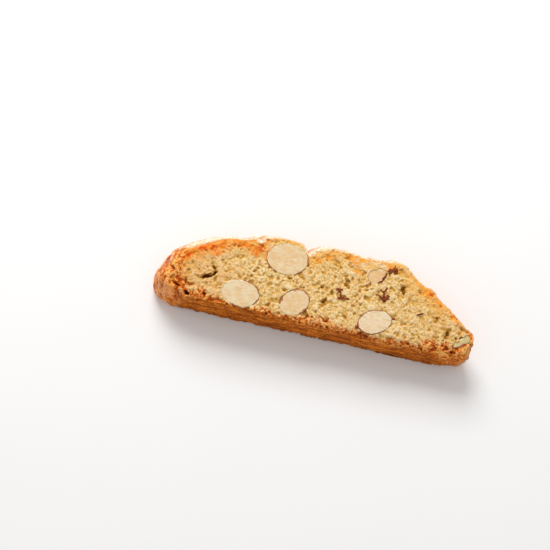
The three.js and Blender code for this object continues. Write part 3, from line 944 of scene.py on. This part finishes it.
class Surface:
    """A material being made, with short ways to add its nodes. Lengths in it are millimetres."""

    def __init__(self, title, roughness, specular, **fixed):
        self.material = bpy.data.materials.new(title)
        self.material.use_nodes = True
        self.nodes = self.material.node_tree.nodes
        self.links = self.material.node_tree.links
        self.shader = self.nodes["Principled BSDF"]
        self.shader.inputs["Roughness"].default_value = roughness
        self.shader.inputs["Specular IOR Level"].default_value = specular
        for name, value in fixed.items():
            self.shader.inputs[name.replace("_", " ")].default_value = value
        where = self.node("TexCoord").outputs["Object"]
        self.place = self.node("VectorMath", where, (1 / MM,) * 3, operation="MULTIPLY").outputs[0]

    def node(self, kind, *inputs, **settings):
        node = self.nodes.new("ShaderNode" + kind)
        for name, value in settings.items():
            setattr(node, name, value)
        for socket, value in zip(node.inputs, inputs):
            self.feed(socket, value)
        return node

    def feed(self, socket, value):
        if isinstance(value, bpy.types.NodeSocket):
            self.links.new(value, socket)
        else:
            socket.default_value = value

    def given(self, name):
        return self.node("Attribute", attribute_name=name).outputs["Fac"]

    def math(self, operation, *inputs):
        return self.node("Math", *inputs, operation=operation).outputs[0]

    def times(self, *factors):
        product = factors[0]
        for factor in factors[1:]:
            product = self.math("MULTIPLY", product, factor)
        return product

    def ease(self, value, low, high, at_low=0, at_high=1):
        """A smooth step from one value to another as the input goes from low to high."""
        node = self.node("MapRange", value, low, high, at_low, at_high, interpolation_type="SMOOTHSTEP")
        return node.outputs["Result"]

    def noise(self, size, detail=2, roughness=0.5, stretch=(1, 1, 1), distort=0):
        """Noise from 0 to 1 with features of about that size, stretched along an axis."""
        scale = tuple(1 / (size * s) for s in stretch)
        place = self.node("VectorMath", self.place, scale, operation="MULTIPLY").outputs[0]
        node = self.node("TexNoise")
        for name, value in dict(
            Vector=place, Scale=1, Detail=detail, Roughness=roughness, Distortion=distort
        ).items():
            self.feed(node.inputs[name], value)
        return node.outputs["Fac"]

    def cells(self, size):
        """Distance from the middles of cells of about that size."""
        node = self.node("TexVoronoi")
        self.feed(node.inputs["Vector"], self.place)
        node.inputs["Scale"].default_value = 1 / size
        return node.outputs["Distance"]

    def mix(self, share, first, second):
        node = self.node("Mix", data_type="RGBA")
        self.feed(node.inputs[0], share)
        self.feed(node.inputs[6], first)
        self.feed(node.inputs[7], second)
        return node.outputs[2]

    def layers(self, value, colour, *steps):
        """Colours laid over the first as the value rises. Each step is low, high and colour."""
        for low, high, over in steps:
            colour = self.mix(self.ease(value, low, high), colour, over)
        return colour

    def bump(self, height, depth, under=None):
        """Relief of that depth in millimetres, on top of an earlier one."""
        node = self.node("Bump")
        self.feed(node.inputs["Height"], height)
        node.inputs["Distance"].default_value = depth * MM
        if under:
            self.feed(node.inputs["Normal"], under)
        return node.outputs["Normal"]

    def finish(self, colour, normal, **linked):
        self.feed(self.shader.inputs["Base Color"], colour)
        self.feed(self.shader.inputs["Normal"], normal)
        for name, value in linked.items():
            self.feed(self.shader.inputs[name.replace("_", " ")], value)
        return self.material


def srgb(red, green, blue):
    """A colour from its 0 to 255 screen values."""
    screen = (red / 255, green / 255, blue / 255)
    return tuple(c / 12.92 if c <= 0.04045 else ((c + 0.055) / 1.055) ** 2.4 for c in screen) + (1,)


CRUMB_PALE = srgb(242, 214, 164)
CRUMB_MID = srgb(230, 190, 120)
CRUMB_GOLD = srgb(208, 160, 76)
CRUMB_BROWN = srgb(174, 120, 48)
CRUMB_DARK = srgb(104, 58, 20)
CRUMB_WARM = srgb(226, 168, 98)
GOLDEN = srgb(240, 180, 88)
ORANGE = srgb(240, 136, 36)
AMBER = srgb(242, 156, 50)
SCORCHED = srgb(222, 84, 18)
TOP_CRUST = srgb(206, 120, 50)
TOP_CRUST_PALE = srgb(226, 156, 80)
TOP_CRUST_DARK = srgb(176, 84, 28)
# Colour of the painted highlight on the top crust's edge
RIM_HIGHLIGHT = srgb(255, 240, 212)
TOASTED_PALE = srgb(255, 192, 106)
BASE_TOASTED = srgb(232, 126, 42)
TOASTED_DARK = srgb(166, 70, 12)
PIT_DARK = srgb(74, 30, 6)
BASE_BROWN = srgb(244, 138, 32)
BASE_DARK = srgb(156, 70, 6)
BASE_DARKEST = srgb(108, 42, 4)
END_PALE = srgb(250, 164, 84)
END_TAN = srgb(222, 122, 44)
END_DARK = srgb(168, 74, 16)


def toast_colour(skin, uneven):
    """Toasted crumb: pale grains with darker ones, and pits between them darkened partly by burning and
    partly by painted shade.
    """
    steps = [(0, 0.35, BASE_TOASTED), (0.3, 0.7, TOASTED_DARK), (0.7, 1.1, PIT_DARK)]
    return skin.layers(uneven, TOASTED_PALE, *steps)


def dough_material():
    skin = Surface("dough", roughness=0.8, specular=0.08, Coat_Roughness=0.32, Subsurface_Weight=0.2,
                   Subsurface_Radius=(1.0, 0.5, 0.2), Subsurface_Scale=MM)
    mix, ease, given, times = skin.mix, skin.ease, skin.given, skin.times

    # Crumb: pale grains, golden between them and darker down in the pores, partly the crumb's own colour and
    # partly painted shade
    broad = skin.noise(8, 2)
    grain = skin.noise(1.2, 3, 0.6)
    fine = skin.noise(0.45, 2, 0.6)
    along = skin.node("SeparateXYZ", skin.place).outputs[0]
    # The deeper a point lies in a pore, pit or cleft, the darker the colours below make it: partly own
    # colour, partly painted shade
    uneven = skin.math("ADD", given("depth"), ease(grain, 0.3, 0.7, 0.22, -0.22))
    uneven = skin.math("ADD", uneven, ease(fine, 0.3, 0.7, 0.12, -0.12))
    clefts = ease(skin.cells(0.8), 0.35, 0.75, -0.15, 0.2)
    uneven = skin.math("ADD", uneven, clefts)
    crumb = skin.layers(
        uneven, CRUMB_PALE,
        (0.05, 0.4, CRUMB_MID), (0.35, 0.75, CRUMB_GOLD), (0.7, 1.3, CRUMB_BROWN), (1.3, 2.4, CRUMB_DARK),
    )
    warm = skin.math("ADD", ease(along, -15, -52, 0, 0.5), ease(broad, 0.45, 0.7, 0, 0.3))
    warm = skin.math("ADD", warm, ease(along, 36, 50, 0, 0.25))
    crumb = mix(times(warm, ease(uneven, 1, 0.3)), crumb, CRUMB_WARM)

    # Toast: orange inside the top crust, brown above the base
    mottle = skin.noise(1.6, 3, 0.65)
    glow = times(given("glow"), ease(broad, 0.35, 0.6, 0.35, 0.9))
    crumb = mix(times(glow, ease(uneven, 1.2, 0.4)), crumb, GOLDEN)
    spots = times(given("spots"), ease(mottle, 0.3, 0.5, 0.5, 1))
    rind = times(given("top_toast"), ease(mottle, 0.25, 0.55, 0.35, 0.95))
    browned = times(skin.math("MAXIMUM", spots, rind), ease(uneven, -0.3, 0.25, 0.6, 1))
    crumb = mix(browned, crumb, mix(ease(along, -12, -2), ORANGE, AMBER))
    crumb = mix(times(given("scorched"), ease(mottle, 0.35, 0.55)), crumb, SCORCHED)
    browned = times(given("base_toast"), ease(mottle, 0.3, 0.55, 0.5, 1))
    deeper = times(given("base_toast"), ease(uneven, 0, 0.6, -0.1, 0.5))
    browned = ease(skin.math("ADD", browned, deeper), 0.1, 0.95)
    crumb = mix(browned, crumb, toast_colour(skin, uneven))

    # Crust: mottled golden brown above, darker with long streaks below, with painted shade on the base
    # towards the lower cut
    patches = skin.noise(5, 4, 0.6)
    freckles = skin.noise(0.9, 3, 0.6)
    top = mix(ease(patches, 0.38, 0.62), TOP_CRUST_PALE, TOP_CRUST)
    top = mix(ease(freckles, 0.5, 0.68, 0, 0.7), top, TOP_CRUST_DARK)
    tan = skin.layers(uneven, END_PALE, (-0.25, 0.15, END_TAN), (0.15, 0.55, END_DARK))
    top = mix(given("end"), top, tan)
    streaks = skin.noise(1.4, 3, 0.6, stretch=(3.5, 1, 1), distort=0.5)
    base = mix(ease(streaks, 0.34, 0.68), BASE_DARK, BASE_BROWN)
    base = mix(ease(freckles, 0.48, 0.6, 0, 0.6), base, BASE_DARKEST)
    down = skin.math("ADD", given("below"), ease(mottle, 0.3, 0.7, -2, 2))
    down = skin.math("ADD", down, ease(along, 47, 58, 0, -7))
    porous = times(ease(down, 5, 0.5, 0.05, 1), ease(along, -22, 12, 0.12, 1))
    base = mix(porous, base, toast_colour(skin, skin.math("ADD", uneven, 0.3)))
    # Painted shade: the base wall darkens towards the lower cut, which lies on the floor
    base = mix(ease(given("below"), 8, 16, 0, 0.5), base, BASE_DARKEST)
    crust = mix(times(given("base"), skin.math("SUBTRACT", 1, given("end"))), top, base)
    # Darker down in the crust's deepest pits: partly their own colour, partly painted shade
    crust = mix(ease(uneven, 0.9, 1.8), crust, PIT_DARK)
    colour = mix(given("crust"), crumb, crust)
    # Painted highlight along the top crust's rounded edge and on a few crumb spots
    pale = times(given("rim"), ease(freckles, 0.6, 0.45, 0.45, 1))
    colour = mix(pale, colour, RIM_HIGHLIGHT)

    tiny = skin.noise(0.3, 3, 0.6)
    normal = skin.bump(tiny, 0.15)
    normal = skin.bump(clefts, -0.3, normal)
    coat = times(given("crust"), skin.math("SUBTRACT", 1, given("base")), 0.6)
    return skin.finish(colour, normal, Coat_Weight=coat)


FLESH_PALE = srgb(234, 212, 176)
FLESH_GOLDEN = srgb(230, 180, 116)
FLESH_LINES = srgb(210, 168, 106)
FLESH_WHITE = srgb(242, 224, 194)
FLESH_DULLED = srgb(196, 184, 124)
SKIN_BROWN = srgb(192, 128, 88)
SKIN_DARK = srgb(152, 84, 52)
FLAKE_BROWN = srgb(150, 72, 36)
FLAKE_DARK = srgb(104, 40, 16)


def almond_material():
    nut = Surface("almond", roughness=0.42, specular=0.4, Subsurface_Weight=0.4,
                  Subsurface_Radius=(1.8, 1.1, 0.6), Subsurface_Scale=MM)
    mix, ease, given = nut.mix, nut.ease, nut.given
    cloudy = ease(nut.noise(3, 3, 0.6), 0.35, 0.65, -0.25, 0.25)
    flesh = mix(nut.math("ADD", given("warmth"), cloudy), FLESH_PALE, FLESH_GOLDEN)
    lines = nut.noise(1, 3, 0.6, stretch=(3.5, 1, 1), distort=1.5)
    flesh = mix(ease(lines, 0.48, 0.68, 0, 0.45), flesh, FLESH_LINES)
    flesh = mix(ease(lines, 0.5, 0.32, 0, 0.55), flesh, FLESH_WHITE)
    flesh = mix(given("dull"), flesh, FLESH_DULLED)
    streaks = nut.noise(0.5, 2, 0.6, stretch=(1, 1, 6))
    brown = mix(ease(streaks, 0.4, 0.6), SKIN_DARK, SKIN_BROWN)
    ragged = nut.math("ADD", given("inner"), ease(nut.noise(0.5, 2), 0.3, 0.7, -0.1, 0.1))
    inside = nut.math("SUBTRACT", ragged, given("skin"))
    covered = nut.times(ease(inside, 0.06, -0.06), ease(given("skin"), 0.04, 0.12))
    colour = mix(covered, flesh, brown)
    normal = nut.bump(nut.noise(0.6, 3), 0.06)
    return nut.finish(colour, normal)


def flake_material():
    scrap = Surface("almond_skin", roughness=0.7, specular=0.12)
    colour = scrap.mix(scrap.ease(scrap.noise(0.4, 2), 0.4, 0.6), FLAKE_DARK, FLAKE_BROWN)
    return scrap.finish(colour, scrap.bump(scrap.noise(0.3, 2), 0.08))


FLOOR_SHADES = [(0.93, 0.93, 0.93, 1), (0.95, 0.95, 0.95, 1)]


def floor_material():
    table = Surface("table", roughness=0.7, specular=0.2)
    shade = table.mix(table.noise(60, 2), *FLOOR_SHADES)
    return table.finish(shade, table.bump(table.noise(2, 2), 0.02))


# Stage --------------------------------------------------------------------------------------------

# The photo's viewing angle, and the pixel that shows the aim point on the slice's upper cut
VIEW_AZIMUTH = math.radians(13.2)
VIEW_ELEVATION = math.radians(74.2)
LENS = 85
SENSOR = 36
PICTURE_SIDE = 550
DISTANCE = 0.487
AIM_POINT = (Vector((-3.25, 9.4, THICKNESS)) - Vector(ORIGIN)) * MM
AIM_PIXEL = (312, 300)
# The floor's half side in metres, and how many millimetres it lies below the slice
FLOOR_HALF = 0.9
FLOOR_DROP = 0.02
KEY_DIRECTION = Vector((-0.32, 0.85, 0.8))
KEY_DISTANCE = 0.8
KEY_SIDE = 0.4
KEY_POWER = 5.2
WORLD_STRENGTH = 0.56
WORLD_COLOUR = (1, 0.985, 0.965, 1)


def make_floor():
    floor = new_piece("table", [(0, 0, 0)] * 4, [(0, 1, 2, 3)], floor_material())
    corners = [(-1, -1), (1, -1), (1, 1), (-1, 1)]
    for vertex, (x, y) in zip(floor.data.vertices, corners):
        vertex.co = (x * FLOOR_HALF, y * FLOOR_HALF, -FLOOR_DROP * MM)


def light_scene():
    world = bpy.data.worlds.new("studio")
    bpy.context.scene.world = world
    world.use_nodes = True
    background = world.node_tree.nodes["Background"]
    background.inputs["Color"].default_value = WORLD_COLOUR
    background.inputs["Strength"].default_value = WORLD_STRENGTH
    lamp = bpy.data.lights.new("key", "AREA")
    lamp.size = KEY_SIDE
    lamp.energy = KEY_POWER
    key = bpy.data.objects.new("key", lamp)
    direction = KEY_DIRECTION.normalized()
    key.location = direction * KEY_DISTANCE
    key.rotation_euler = direction.to_track_quat("Z", "Y").to_euler()
    bpy.context.scene.collection.objects.link(key)


def set_camera():
    """Looks from the photo's angle with the aim point at its pixel."""
    a, e = VIEW_AZIMUTH, VIEW_ELEVATION
    back = Vector((math.sin(a) * math.cos(e), -math.cos(a) * math.cos(e), math.sin(e)))
    right = Vector((math.cos(a), math.sin(a), 0))
    up = back.cross(right)
    pixels = LENS / SENSOR * PICTURE_SIDE
    across = (AIM_PIXEL[0] - PICTURE_SIDE / 2) / pixels
    upwards = (PICTURE_SIDE / 2 - AIM_PIXEL[1]) / pixels
    camera = bpy.data.objects.new("camera", bpy.data.cameras.new("camera"))
    camera.data.lens = LENS
    camera.data.sensor_width = SENSOR
    camera.location = AIM_POINT - (right * across + up * upwards - back) * DISTANCE
    camera.rotation_euler = back.to_track_quat("Z", "Y").to_euler()
    bpy.context.scene.collection.objects.link(camera)
    bpy.context.scene.camera = camera


make_dough(dough_material())
nut = almond_material()
for number in range(len(ALMONDS)):
    make_almond(number, nut)
make_flakes(flake_material())
make_floor()
light_scene()
set_camera()
bpy.context.scene.view_settings.view_transform = "Standard"
